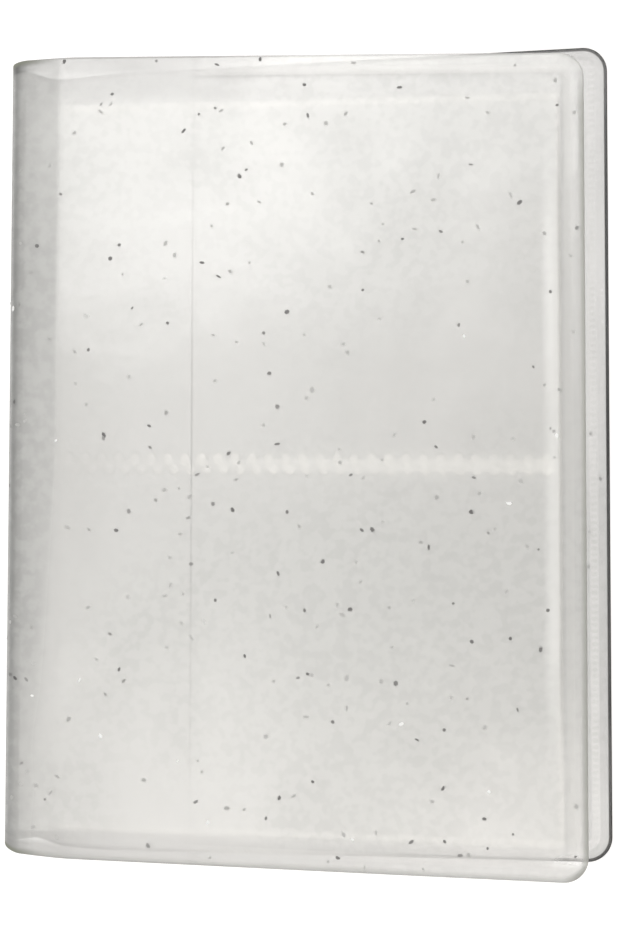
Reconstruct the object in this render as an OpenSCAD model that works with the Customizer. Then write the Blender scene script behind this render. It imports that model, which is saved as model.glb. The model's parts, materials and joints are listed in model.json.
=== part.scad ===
// Pocket photo album: a soft jacket with inside flaps, and ten leaves with two print pockets on each face.
// It lies closed on its back cover. X runs from spine to fore-edge, Y up the page, Z through the thickness.
// All sizes are in millimetres and all angles in degrees.

/* [Prints] */

// Long side of the print that a pocket holds
print_w = 127; // [100:0.5:155]
// Short side of the print that a pocket holds
print_h = 89; // [70:0.5:110]
// Room beside the print in the pocket, along its long side
pocket_ease_w = 1.5; // [1:0.5:5]
// Room beside the print in the pocket, along its short side
pocket_ease_h = 1.7; // [1:0.1:5]

/* [Leaves] */

// Number of leaves in the album
leaf_count = 10; // [4:1:12]
// Thickness of a pocket film
film_t = 0.12; // [0.1:0.01:0.2]
// Thickness of the divider sheet between the two films
divider_t = 0.16; // [0.1:0.01:0.3]
// Depth of a pocket, for one print
pocket_gap = 0.25; // [0.2:0.05:0.5]
// Air between two closed leaves at the fore-edge
leaf_gap = 0.13; // [0.1:0.01:0.3]
// Distance between two leaf roots along the spine
root_pitch = 1.2; // [1.2:0.1:2]
// Bare strip of divider between the root and the pocket films
hinge_margin = 10.4; // [8:0.2:16]
// Width of the weld along the outer edges of a leaf
edge_weld_w = 1.5; // [1:0.1:3]
// Width of the weld between the upper and the lower pocket
mid_weld_w = 3; // [2:0.1:5]
// Film left outside the edge welds
weld_inset = 0.8; // [0.5:0.1:2]
// Break between two welds that meet, on a leaf or a flap
weld_break = 0.2; // [0.1:0.05:0.5]
// Radius of the leaf corners at the fore-edge
leaf_corner_r = 2.5; // [2.5:0.1:6]

/* [Jacket] */

// Thickness of the cover sheet
sheet_t = 0.6; // [0.4:0.05:0.8]
// Outer radius of the two creases
crease_r = 5; // [4:0.5:8]
// Lean of the spine panel, outward at the top
spine_lean = 20; // [0:1:25]
// Cover beyond the leaves at the top and at the bottom
edge_overhang = 8.5; // [4:0.5:14]
// Cover beyond the bottom leaf at the fore-edge
fore_overhang = 6; // [5:0.5:12]
// Radius of the cover corners
corner_r = 6.3; // [5:0.1:9]
// How far the leaves sit below the middle of the jacket
leaf_drop = 2.5; // [0:0.1:3]

/* [Flaps] */

// Thickness of the clear flap sheet
flap_t = 0.3; // [0.2:0.05:0.4]
// Room between the cover and its flap
flap_gap = 0.3; // [0.2:0.05:0.6]
// Width of the flap, from the fore-edge to its free edge
flap_w = 100; // [60:1:110]
// Width of the weld that holds a flap
flap_weld_w = 2; // [1.5:0.1:4]
// Distance from the cover edge to the flap weld
flap_weld_inset = 3; // [2:0.1:3.5]

/* [Binding] */

// Thickness of the binding strip inside the spine
strip_t = 1.2; // [0.8:0.1:2]
// Binding strip beyond the first and the last root
strip_end = 1.25; // [1:0.05:3]
// Free space between the binding strip and the root of a leaf
root_clear = 0.15; // [0.12:0.01:0.3]
// Free space at each crease line, along the outside of the sheet
crease_clear = 0.06; // [0.04:0.01:0.2]

/* [Hidden] */

$fn = 96;

pocket_w = print_w + pocket_ease_w;
pocket_h = print_h + pocket_ease_h;
leaf_t = 2 * film_t + 2 * pocket_gap + divider_t;
leaf_w = hinge_margin + pocket_w + edge_weld_w + weld_inset;
leaf_h = 2 * pocket_h + mid_weld_w + 2 * edge_weld_w + 2 * weld_inset;
cover_h = leaf_h + 2 * edge_overhang;

// Spine section: the flat length between the two creases, and the centre of the front crease arc
spine_len = (leaf_count - 1) * root_pitch + 2 * strip_end;
front_arc_x = -spine_len * sin(spine_lean);
front_arc_z = crease_r + spine_len * cos(spine_lean);

// Distance from the line of arc centres to the face of the binding strip and to the leaf roots
strip_face = crease_r - sheet_t - strip_t;
root_depth = strip_face - root_clear;

// Rest height of the leaves at the fore-edge
flap_stack = sheet_t + flap_gap + flap_t;
fore_pitch = leaf_t + leaf_gap;
top_of_leaves = flap_stack + leaf_count * fore_pitch;

// Root of leaf k, and the slope that brings its fore-edge down to its rest height
function root_v(k) = spine_len / 2 + ((leaf_count + 1) / 2 - k) * root_pitch;
function root_x(k) = -root_depth * cos(spine_lean) - root_v(k) * sin(spine_lean);
function root_z(k) = crease_r - root_depth * sin(spine_lean) + root_v(k) * cos(spine_lean);
function fore_z(k) = flap_stack + (leaf_count - k + 1) * fore_pitch - leaf_t / 2;
function leaf_slope(k) = asin((root_z(k) - fore_z(k)) / leaf_w);

// Both panels have one width; it is set by the bottom leaf
panel_w = root_x(leaf_count) + leaf_w + fore_overhang;

// The front cover slopes down until its flap rests one leaf gap above the first leaf
touch_x = root_x(1) + leaf_w - front_arc_x;
touch_drop = front_arc_z - top_of_leaves - leaf_gap;
touch_reach = sqrt(touch_x * touch_x + touch_drop * touch_drop);
cover_slope = atan2(touch_drop, touch_x) + asin((crease_r - flap_stack) / touch_reach);

// Half of each crease's bend; the crease line is at the middle of the arc, on the outside of the sheet
clear_angle = crease_clear / crease_r * 90 / PI;
back_half_bend = (90 - spine_lean) / 2;
front_half_bend = (90 + spine_lean + cover_slope) / 2;

// The whole part is centred on its own box
x_low = front_arc_x - crease_r;
x_mid = (x_low + panel_w) / 2;

LEAF_PIECES = ["front_film", "divider", "back_film", "welds"];
JACKET_PIECES = [
  "back_cover", "back_flap", "back_flap_weld", "spine_panel", "binding_strip",
  "front_cover", "front_flap", "front_flap_weld"
];

function two_digits(k) = k < 10 ? str("0", k) : str(k);
function leaf_name(k, piece) = str("leaf_", two_digits(k), "_", piece);

// Sheet from x0 to x1, with round corners at the x1 end
module fore_edge_outline(x0, x1, h, r) {
  translate([x0, -h / 2])
    square([x1 - x0 - r, h]);
  translate([x1 - r - 1, -h / 2 + r])
    square([r + 1, h - 2 * r]);
  for (side = [-1, 1])
    translate([x1 - r, side * (h / 2 - r)])
      circle(r);
}

// Bent sheet of one crease, between two angles about the arc centre, along the whole cover
module crease_arc(from, to) {
  reach = 2 * crease_r;
  middle = (from + to) / 2;
  rotate([90, 0, 0])
    linear_extrude(height = cover_h, center = true)
      intersection() {
        difference() {
          circle(crease_r);
          circle(crease_r - sheet_t);
        }
        polygon([
          [0, 0],
          [reach * cos(from), reach * sin(from)],
          [reach * cos(middle), reach * sin(middle)],
          [reach * cos(to), reach * sin(to)]
        ]);
      }
}

// Puts a panel drawn with its outside face at z = 0, facing down, onto the front cover
module on_front_cover() {
  translate([front_arc_x, 0, front_arc_z])
    rotate([0, cover_slope, 0])
      translate([0, 0, crease_r])
        mirror([0, 0, 1])
          children();
}

// Puts a piece drawn with z along the spine panel, and -x to the outside, into the spine
module in_spine() {
  translate([0, 0, crease_r])
    rotate([0, -spine_lean, 0])
      children();
}

// Puts a leaf drawn from its root along x into its rest place
module at_leaf(k) {
  translate([root_x(k), -leaf_drop, root_z(k)])
    rotate([0, leaf_slope(k), 0])
      children();
}

// Flat panel with its half of the crease
module cover_sheet(half_bend) {
  linear_extrude(height = sheet_t)
    fore_edge_outline(0, panel_w, cover_h, corner_r);
  translate([0, 0, crease_r])
    crease_arc(270 - half_bend + clear_angle, 270);
}

module flap_sheet() {
  translate([0, 0, sheet_t + flap_gap])
    linear_extrude(height = flap_t)
      fore_edge_outline(panel_w - flap_w, panel_w, cover_h, corner_r);
}

module flap_weld_strips() {
  outer_x = panel_w - flap_weld_inset;
  outer_y = cover_h / 2 - flap_weld_inset;
  fore_len = 2 * (outer_y - flap_weld_w - weld_break);
  translate([outer_x - flap_weld_w, -fore_len / 2, sheet_t])
    cube([flap_weld_w, fore_len, flap_gap]);
  for (y = [-outer_y, outer_y - flap_weld_w])
    translate([panel_w - flap_w, y, sheet_t])
      cube([flap_w - flap_weld_inset, flap_weld_w, flap_gap]);
}

module back_cover() {
  color("gainsboro")
    cover_sheet(back_half_bend);
}

module back_flap() {
  color("whitesmoke")
    flap_sheet();
}

module back_flap_weld() {
  color("silver")
    flap_weld_strips();
}

module spine_panel() {
  color("lightgray")
    in_spine() {
      crease_arc(180, 180 + back_half_bend - clear_angle);
      translate([-crease_r, -cover_h / 2, 0])
        cube([sheet_t, cover_h, spine_len]);
      translate([0, 0, spine_len])
        crease_arc(180 - front_half_bend + clear_angle, 180);
    }
}

module binding_strip() {
  color("darkgray")
    in_spine()
      translate([-strip_face - strip_t, -leaf_h / 2 - leaf_drop, 0])
        cube([strip_t, leaf_h, spine_len]);
}

module front_cover() {
  color("gainsboro")
    on_front_cover()
      cover_sheet(front_half_bend);
}

module front_flap() {
  color("whitesmoke")
    on_front_cover()
      flap_sheet();
}

module front_flap_weld() {
  color("silver")
    on_front_cover()
      flap_weld_strips();
}

module leaf_divider() {
  color("white")
    translate([0, 0, -divider_t / 2])
      linear_extrude(height = divider_t)
        fore_edge_outline(0, leaf_w, leaf_h, leaf_corner_r);
}

module leaf_front_film() {
  color("azure")
    translate([0, 0, divider_t / 2 + pocket_gap])
      linear_extrude(height = film_t)
        fore_edge_outline(hinge_margin, leaf_w, leaf_h, leaf_corner_r);
}

module leaf_back_film() {
  mirror([0, 0, 1])
    leaf_front_film();
}

// Welds of the two pockets on the upper face of a leaf; the pockets are open at the spine side
module pocket_welds() {
  outer_x = leaf_w - weld_inset;
  inner_x = outer_x - edge_weld_w;
  outer_y = leaf_h / 2 - weld_inset;
  inner_y = outer_y - edge_weld_w;
  fore_len = 2 * (inner_y - weld_break);
  translate([inner_x, -fore_len / 2, divider_t / 2])
    cube([edge_weld_w, fore_len, pocket_gap]);
  for (y = [-outer_y, inner_y])
    translate([hinge_margin, y, divider_t / 2])
      cube([outer_x - hinge_margin, edge_weld_w, pocket_gap]);
  translate([hinge_margin, -mid_weld_w / 2, divider_t / 2])
    cube([inner_x - weld_break - hinge_margin, mid_weld_w, pocket_gap]);
}

module leaf_welds() {
  color("ivory") {
    pocket_welds();
    mirror([0, 0, 1])
      pocket_welds();
  }
}

translate([-x_mid, 0, 0]) {
  back_cover();
  back_flap();
  back_flap_weld();
  spine_panel();
  binding_strip();
  front_cover();
  front_flap();
  front_flap_weld();
  for (k = [1:leaf_count]) {
    at_leaf(k) leaf_front_film();
    at_leaf(k) leaf_divider();
    at_leaf(k) leaf_back_film();
    at_leaf(k) leaf_welds();
  }
}
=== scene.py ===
import json
import math
from collections import namedtuple

import bpy
import bmesh
import numpy as np
from mathutils import Matrix, Vector

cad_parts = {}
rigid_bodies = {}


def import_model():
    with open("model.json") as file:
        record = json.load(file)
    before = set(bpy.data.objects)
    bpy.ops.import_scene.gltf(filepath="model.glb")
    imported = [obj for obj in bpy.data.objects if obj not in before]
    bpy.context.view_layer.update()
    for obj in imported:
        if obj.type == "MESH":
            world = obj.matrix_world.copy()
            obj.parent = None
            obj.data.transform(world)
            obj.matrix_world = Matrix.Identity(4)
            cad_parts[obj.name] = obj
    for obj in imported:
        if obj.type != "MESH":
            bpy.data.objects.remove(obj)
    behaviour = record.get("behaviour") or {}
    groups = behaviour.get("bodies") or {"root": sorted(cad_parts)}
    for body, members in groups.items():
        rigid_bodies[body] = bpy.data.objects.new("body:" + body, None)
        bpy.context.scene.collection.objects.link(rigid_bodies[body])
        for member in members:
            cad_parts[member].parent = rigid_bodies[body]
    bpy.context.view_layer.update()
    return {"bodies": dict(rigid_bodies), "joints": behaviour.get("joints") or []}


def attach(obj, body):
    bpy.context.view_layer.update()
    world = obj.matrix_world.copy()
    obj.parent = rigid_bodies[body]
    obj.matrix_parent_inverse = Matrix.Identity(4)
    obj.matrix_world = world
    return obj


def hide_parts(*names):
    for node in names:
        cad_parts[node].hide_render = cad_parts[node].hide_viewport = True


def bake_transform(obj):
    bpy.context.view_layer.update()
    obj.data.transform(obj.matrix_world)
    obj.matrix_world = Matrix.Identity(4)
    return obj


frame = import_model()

# Pocket photo album. Lengths here are in millimetres, as in the part's source; meshes are in metres.
MM = 0.001

# Jacket: one sheet, with a rounded crease on each side of the leaning spine
SHEET_T = 0.6
CREASE_R = 5.0
LEAN = math.radians(20)
SPINE_LEN = 13.3
COVER_H = 206.0
HALF_H = COVER_H / 2
PANEL_W = 143.906
CORNER_R = 6.3
# Clear flap inside each cover, which starts this far along it, and the weld round three of its sides
FLAP_T, FLAP_GAP, FLAP_W = 0.3, 0.3, 100.0
FLAP_START = PANEL_W - FLAP_W
FLAP_WELD_IN, FLAP_WELD_W, FLAP_WELD_CLEAR = 3.0, 2.0, 0.3
FLAP_WELD_END = FLAP_WELD_IN + FLAP_WELD_W
GROOVE_DEPTH = 0.035
# Leaf: a divider between two films, closed by welds. The leaves lie on the flap of the back cover
LEAF_W, LEAF_H, LEAF_DROP, LEAF_CORNER_R = 141.2, 189.0, 2.5, 2.5
DIVIDER_T, POCKET_GAP, FILM_T = 0.16, 0.25, 0.12
LEAF_T = DIVIDER_T + 2 * POCKET_GAP + 2 * FILM_T
LEAF_CLEAR, STACK_BASE = 0.13, SHEET_T + FLAP_GAP + FLAP_T
HINGE_MARGIN, EDGE_WELD_W, MID_WELD_W, WELD_IN, WELD_CLEAR = 10.4, 1.5, 3.0, 0.8, 0.2
FILM_SAG = 0.12
# Ragged lower side of the middle weld: where it starts, and its width and thickness as shares of the weld's
FRINGE_START, FRINGE_WIDE, FRINGE_THICK = 2.2, 0.6, 0.8
# Pressed teeth of each weld: pitch, half length, half width and offset to one side
FLAP_TEETH = (1.6, 0.55, 0.85, 0.0)
EDGE_TEETH = (2.0, 0.7, 0.62, 0.0)
MIDDLE_TEETH = (4.3, 1.6, 2.1, 1.3)
FRINGE_TEETH = (4.3, 1.6, 1.7, -1.1)
# Thickness of a weld bar, its bevel and the height of its teeth, as shares of the gap that the weld fills
BAR_SHARE, BEVEL_SHARE, TOOTH_SHARE = 0.55, 0.2, 0.5
# Binding strip, the distance between the leaf roots on it, and the bead that is fused round each root
STRIP_T, ROOT_PITCH = 1.2, 1.2
STRIP_EDGE = 0.3
BEAD_SINK, BEAD_OUT, BEAD_HALF = 0.12, 0.16, 0.34
# The soft front cover and the leaves hang a little low at their fore-edges, by these slopes
DROOP = 0.029
LEAF_DROOP = 0.016
# Height of the soft front cover's swells, and of the strip over the fore-edge of the leaf stack
BROAD_SWELL, SLANT_SWELL, STRIP_SWELL = 0.30, 0.22, 0.12
# How far the head and foot of the spine are drawn in, and both ends beside it
HEAD_PULL, FOOT_PULL, TAIL_PULL = 0.3, 2.6, 0.9
# The jacket is formed round the spine up to this far along each cover
HINGE_ZONE = 8.7
# How far in from the cover's head, foot and fore-edge the leaf stack lies behind it, where the raised strip,
# painted shade and painted highlight mark its edge
STACK_HEAD, STACK_FOOT, STACK_FORE = 11.0, 7.5, 6.1
# The back cover's foot corner shows through this far in from the fore-edge and up from its own edge
CONTACT_IN, CONTACT_UP = 4.5, 1.5
# Glitter: flakes to a square metre, and the radius, thickness and greatest tilt of a flake
FLAKE_DENSITY, FLAKE_R, FLAKE_T, FLAKE_TILT = 8200.0, 0.55, 0.06, 0.12
FLAKE_SEEDS = {"front": 7, "back": 4}
TILT_SEED, SIZE_SEED, TONE_SEED = 11, 12, 13

JOINTS = {j["name"]: j for j in frame["joints"]}
LEAVES = sorted(name for name in frame["bodies"] if name.startswith("leaf_"))
COVER_SLOPE = math.radians(JOINTS["cover_open"]["range_deg"][1]) - math.pi / 2 - LEAN
SPINE_UP = np.array([-math.sin(LEAN), math.cos(LEAN)])
SPINE_OUT = np.array([-math.cos(LEAN), -math.sin(LEAN)])

# Each half of the jacket in x and z: the centre of its crease, the way its panel faces,
# the way along the panel, and the angle that the crease turns from the spine to the panel
Cover = namedtuple("Cover", "side arc out along turn")
FRONT = Cover(
    "front",
    np.array([0.0, CREASE_R]) + SPINE_LEN * SPINE_UP,
    np.array([math.sin(COVER_SLOPE), math.cos(COVER_SLOPE)]),
    np.array([math.cos(COVER_SLOPE), -math.sin(COVER_SLOPE)]),
    -math.pi / 2 - COVER_SLOPE - LEAN)
BACK = Cover(
    "back",
    np.array([0.0, CREASE_R]),
    np.array([0.0, -1.0]),
    np.array([1.0, 0.0]),
    math.pi / 2 - LEAN)
# Middle of the album along x, where the part's origin lies
X_MID = (FRONT.arc[0] - CREASE_R + PANEL_W) / 2


def smooth(low, high, value):
    """Soft rise from zero at low to one at high, whichever of the two is greater."""
    t = np.clip((value - low) / (high - low), 0, 1)
    return t * t * (3 - 2 * t)


def peak(distance, width):
    """One at no distance, falling off on both sides."""
    return np.exp(-(distance / width) ** 2)


# Shape of the jacket. A point has a run along its cover, from the crease, and a height y up the cover.

def edge_distance(run, y, width, height, radius):
    """Distance in from the outline of a sheet with two round corners at its fore-edge."""
    centre_run, centre_y = width - radius, height / 2 - radius
    straight = np.minimum(height / 2 - np.abs(y), width - run)
    corner = radius - np.hypot(run - centre_run, np.abs(y) - centre_y)
    return np.where((run > centre_run) & (np.abs(y) > centre_y), corner, straight)


def inside_stack(run):
    """How far a point lies inside the fore-edge of the leaf stack."""
    return PANEL_W - STACK_FORE - run


def flap_zone(run):
    """One where a flap lies inside the cover."""
    return smooth(-0.5, 0.5, run - FLAP_START)


def stack_ridge_and_highlight(run, y):
    """Raised strip in the soft cover over the fore-edge of the leaf stack, also a painted highlight on the
    front sheet.
    """
    inner_slope = smooth(4.9, 1.7, inside_stack(run))
    outer_slope = smooth(-0.1, 0.9, inside_stack(run))
    foot_fade = smooth(-82, -40, y)
    head_fade = smooth(96, 35, y)
    return inner_slope * outer_slope * foot_fade * head_fade


def painted_stack_crease(run, y):
    """Painted dark line of shade, as of a crease in the soft cover, just beyond the fore-edge of the leaf
    stack.
    """
    foot_fade = smooth(-80, -50, y)
    head_fade = smooth(-3, 2, HALF_H - STACK_HEAD - y)
    return peak(inside_stack(run), 0.62) * foot_fade * head_fade


def cover_wave(run, y):
    """Outward swell of the soft front cover, never inward."""
    broad = 0.5 + 0.5 * np.sin(run * 0.047 + 0.7) * np.cos(y * 0.034 + 0.5)
    slant = 0.5 + 0.5 * np.sin(run * 0.021 - y * 0.043 + 2.0)
    clear_of_crease = smooth(2, 30, run)
    return (BROAD_SWELL * broad + SLANT_SWELL * slant) * clear_of_crease + STRIP_SWELL * stack_ridge_and_highlight(run, y)


def weld_groove(run, y):
    """Depth of the pressed weld line that runs round the flap."""
    inward = edge_distance(run, y, PANEL_W, COVER_H, CORNER_R)
    outer_slope = smooth(FLAP_WELD_IN - 0.7, FLAP_WELD_IN + 0.4, inward)
    inner_slope = 1 - smooth(FLAP_WELD_END - 0.4, FLAP_WELD_END + 0.9, inward)
    return GROOVE_DEPTH * outer_slope * inner_slope * flap_zone(run)


def spine_end_pull(run, y):
    """How far the head and foot of the jacket are drawn in where it bends round the spine."""
    bend = 1 - smooth(-10, 1, run)
    tail = 1 - smooth(-6, 14, run)
    pull = np.where(y > 0, HEAD_PULL, FOOT_PULL) * bend + TAIL_PULL * tail
    return np.sign(y) * pull * np.abs(y / HALF_H) ** 4


# Marks on the jacket: values over the sheet for its materials, with zero for no mark. Several are painted
# shade or painted highlight

def corner_contact(run, y):
    """One where the front cover clings to the foot corner of the back cover and shows its cut edge."""
    back_foot = DROOP * run - HALF_H
    return peak(run - PANEL_W + CONTACT_IN, 4.5) * peak(y - back_foot - CONTACT_UP, 1.3)


def painted_border_shade(run, y):
    """Painted shade, high where the cover has no leaf behind it, but low at the head towards the fore-edge.
    Below zero where the cover clings to the back cover's corner and looks clear."""
    from_head, from_foot = HALF_H - y, HALF_H + y
    head = 0.5 * smooth(STACK_HEAD + 1.3, STACK_HEAD - 1.0, from_head) + 0.25 * smooth(4.8, 3.4, from_head)
    head = head * (1 - 1.3 * smooth(35, 90, run)) * smooth(4, 12, run)
    foot = 0.38 * smooth(0, 12, run) * smooth(STACK_FOOT + 1.0, STACK_FOOT - 1.0, from_foot)
    foot = foot + painted_foot_shade(run, y)
    fore = 0.22 * smooth(0.4, -0.6, inside_stack(run))
    return np.maximum(np.maximum(head, foot), fore) - 1.5 * corner_contact(run, y)


def painted_foot_shade(run, y):
    """Painted shade in a strip along the foot of the soft cover, strongest beside the spine."""
    strength = 0.15 * smooth(130, 80, run) + 0.2 * smooth(90, 30, run) + 0.2 * smooth(20, 0, run)
    return strength * smooth(-14, -9, run) * smooth(4.4, 3.2, HALF_H + y)


def painted_head_highlight(run, y):
    """Painted highlight in a strip along the head of the soft cover, towards the fore-edge."""
    return 0.5 * smooth(5.0, 3.6, HALF_H - y) * smooth(50, 110, run)


def painted_middle_highlight(run, y):
    """Faint painted highlight over the leaves' middle weld in the soft cover, stronger towards the fore-edge.
    """
    middle = -LEAF_DROP + (DROOP - LEAF_DROOP) * run
    wander = 0.5 * np.sin(run * 1.45) + 0.3 * np.sin(run * 0.63 + 1.0)
    line = peak(y - middle - 0.3 * wander, 2.9 + 0.5 * wander)
    return line * smooth(25, 120, run) * smooth(7, 10, PANEL_W - run)


def formed_zone(run, y):
    """One round the spine, with a clean end at the head and a drawn-out end at the foot.
    It shows most half way up."""
    drawn_out = 5.5 * smooth(5, -65, y)
    zone = 1 - smooth(HINGE_ZONE - 1.2 - drawn_out, HINGE_ZONE + 1.0, run)
    zone = zone * (1 - 0.26 * smooth(-1, 6, run))
    fade = 0.75 * smooth(-40, -85, y) + 0.34 * smooth(40, 85, y)
    return zone * (1 - fade * smooth(-3, 2, run))


def drawn_ends(run, y):
    """Shade at the head and foot of the spine, where the sheet is drawn in and folds over itself."""
    from_end = HALF_H - np.abs(y)
    ends = peak(from_end, 2.0) * (1 - smooth(-3, 13, run))
    fold = peak(from_end - 2.7, 0.55) * (1 - smooth(-3, 9, run))
    return np.minimum(ends + 0.5 * fold, 1)


def front_marks(run, y):
    """Marks of the front sheet: painted shade along its cut edge and in its crease, its bend, its weld, and
    painted shade and highlight where the leaf stack presses.
    """
    # Painted shade along the cut edge: beside the spine, a little at the foot, and along the fore-edge
    foot_edge = np.where(y > 0, 0.0, 0.2)
    rim = np.maximum(1 - smooth(-4, 9, run), foot_edge) * smooth(-13, -6, run)
    fore_edge = 0.54 * smooth(PANEL_W - 9, PANEL_W - 3, run) * (1 - 0.8 * smooth(88, 99, y))
    # Painted shade in the crease, less towards the foot and the head
    crease_shade = 0.52 - 0.36 * smooth(-20, -80, y) - 0.08 * smooth(50, 80, y)
    # Painted highlight over the stack's fore-edge and, fainter, over the middle weld
    strip = np.maximum(stack_ridge_and_highlight(run, y), 0.35 * painted_middle_highlight(run, y))
    return {
        "painted_rim_shade": np.maximum(rim, fore_edge),
        "hinge_zone": formed_zone(run, y),
        "painted_crease_shade": np.minimum(crease_shade * peak(run + 3.2, 1.3) + drawn_ends(run, y), 1),
        "drawn_end": drawn_ends(run, y),
        "weld_zone": flap_zone(run),
        "painted_border_shade": painted_border_shade(run, y),
        "stack_ridge_and_highlight": np.maximum(strip, painted_head_highlight(run, y)),
        "painted_stack_crease": painted_stack_crease(run, y)}


def back_marks(run, y):
    """Marks of the back sheet: painted shade along its cut edge, darkest at the fore-edge, and at the ends of
    the spine; its weld is strongest at the foot.
    """
    return {
        "painted_rim_shade": np.maximum(0.12 * smooth(-13, -6, run), smooth(15, 118, run) ** 2),
        "hinge_zone": formed_zone(run, y),
        "painted_crease_shade": drawn_ends(run, y),
        "drawn_end": drawn_ends(run, y),
        "weld_zone": flap_zone(run) * (0.25 + 0.75 * smooth(40, -65, y))}


def flap_marks(run, y):
    """Painted shade along the free edge of a flap only, darkest at half its height."""
    free_edge = 1 - smooth(1, 3, run - FLAP_START)
    return {"painted_rim_shade": free_edge * (0.6 + 0.6 * peak(y, 55))}


# Meshes of thin sheets

# Distances in from an edge where a sheet has points, so that its rim, corners and weld line are round
EDGE_STEPS = np.array([0, 0.35, 0.75, 1.2, 1.9, 2.6, 3.0, 3.4, 4.0, 4.6, 5.0, 5.4, 6.3])
CORNER_STEPS = np.array([0, 0.05, 0.15, *EDGE_STEPS[1:-1]])
# Further points of the jacket, at the end of its formed zone and at the head and foot of the leaf stack
ZONE_STEPS = np.array([-1.6, -1.0, -0.5, 0.0, 0.5, 1.0, 1.6])
BORDER_STEPS = np.array([6.9, 7.5, 8.2, 9.4, 10.2, 10.9, 11.6, 12.4])
# Greatest distance between points along a sheet, and the points across half of it, the spine and a crease
RUN_STEP, SIDE_POINTS, SPINE_POINTS, CREASE_POINTS = 4, 30, 5, 20
# Directions of the three rings that round a rim, up from its middle
RIM_ANGLES = (math.radians(50), 0, math.radians(-50))
# Size of the sheet that the UV map spans, and where a run and a height of zero lie on the map
UV_RUN, UV_HEIGHT, UV_ZERO = 200, 220, (0.15, 0.5)

# Middle surface of a sheet, in rows along it and columns across it
Grid = namedtuple("Grid", "points normals run y edge")


def run_stations(first, width, radius, marked=False):
    """Stations from first to the fore-edge, close together at the corners, and where the cover is marked."""
    last = width - radius
    stations = np.linspace(first, last, max(3, int((last - first) / RUN_STEP)))
    if marked:
        strip = width - STACK_FORE - np.linspace(-0.5, 5.0, 16)
        stations = stations[stations < strip[-1] - 0.5]
        stations = np.sort(np.concatenate([stations, strip, HINGE_ZONE + ZONE_STEPS]))
    return np.concatenate([stations, width - CORNER_STEPS[::-1] * radius / CORNER_R])


def side_columns(height, marked=False):
    """Columns across the sheet as shares of its half height, close together at its edges and marks."""
    half = height / 2
    inner = np.linspace(0, 1 - EDGE_STEPS[-1] / half, SIDE_POINTS)[1:]
    if marked:
        middle = np.linspace(0.5, 8.0, 12) / half
        inner = np.sort(np.concatenate([inner, middle, 1 - BORDER_STEPS / half]))
    outer = 1 - EDGE_STEPS[::-1][1:] / half
    upper = np.concatenate([inner, outer])
    return np.concatenate([-upper[::-1], [0], upper])


def half_height(run, width, height, radius):
    """Half the height of a sheet at a run, less where its corners are round."""
    t = np.clip((run - (width - radius)) / radius, 0, 1)
    return height / 2 - radius + radius * np.sqrt(np.clip(1 - t * t, 0, 1))


def section(cover, runs):
    """Points and outward normals across the jacket from the middle of the spine to the fore-edge.
    Each row is x, z, normal x, normal z, run: the run is below zero before the flat panel starts."""
    rows = []
    crease_len = abs(cover.turn) * CREASE_R
    towards = 0.5 if cover is FRONT else -0.5
    for share in np.linspace(0, 1, SPINE_POINTS + 1)[:-1]:
        up = SPINE_LEN * (0.5 + towards * share)
        point = BACK.arc + CREASE_R * SPINE_OUT + up * SPINE_UP
        rows.append([*point, *SPINE_OUT, -crease_len - SPINE_LEN / 2 * (1 - share)])
    for share in np.linspace(0, 1, CREASE_POINTS + 1)[:-1]:
        angle = math.pi + LEAN + cover.turn * share
        out = np.array([math.cos(angle), math.sin(angle)])
        rows.append([*(cover.arc + CREASE_R * out), *out, -crease_len * (1 - share)])
    for run in runs:
        rows.append([*(cover.arc + CREASE_R * cover.out + cover.along * run), *cover.out, run])
    return np.array(rows)


def sheet_grid(cover, rows, depth, inset, marked=False):
    """Middle surface of a sheet of the jacket, depth inside the outer face and inset from its outline."""
    height = COVER_H - 2 * inset
    columns = side_columns(height, marked)
    run = np.repeat(rows[:, 4:5], len(columns), 1)
    y = half_height(run, PANEL_W - inset, height, CORNER_R - inset) * columns[None, :]
    out = -weld_groove(np.minimum(run, PANEL_W), y) - depth
    low = spine_end_pull(run, y)
    if cover is FRONT:
        out = out + cover_wave(run, y)
        low = low + DROOP * np.maximum(run, 0)
    x = rows[:, 0:1] + rows[:, 2:3] * out - X_MID
    z = rows[:, 1:2] + rows[:, 3:4] * out
    points = np.stack([x, y - low, z], -1)
    facing = np.stack([rows[:, 2], 0 * rows[:, 2], rows[:, 3]], -1)
    normals = np.broadcast_to(facing[:, None, :], points.shape)
    return Grid(points, normals, run, y, edge_distance(run, y, PANEL_W, COVER_H, CORNER_R))


def rim_path(rows, columns, free_start):
    """Rows and columns of the points along the rim, from the first row round the fore-edge and back to it."""
    path = [(i, 0) for i in range(rows)]
    path += [(rows - 1, j) for j in range(1, columns)]
    path += [(i, columns - 1) for i in range(rows - 2, -1, -1)]
    if free_start:
        path += [(0, j) for j in range(columns - 2, 0, -1)]
    return np.array(path).T


def rim_rings(rim, normals, half, free_start):
    """Rings of points that round the rim of a sheet from its outer face to its inner one."""
    after, before = np.roll(rim, -1, 0), np.roll(rim, 1, 0)
    if not free_start:
        after[-1], before[0] = rim[-1], rim[0]
    out = np.cross(after - before, normals)
    out /= np.linalg.norm(out, axis=1)[:, None]
    if np.mean(np.sum(out * (rim - rim.mean(0)), 1)) < 0:
        out = -out
    return [rim + half * (math.cos(a) * out + math.sin(a) * normals) for a in RIM_ANGLES]


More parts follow.
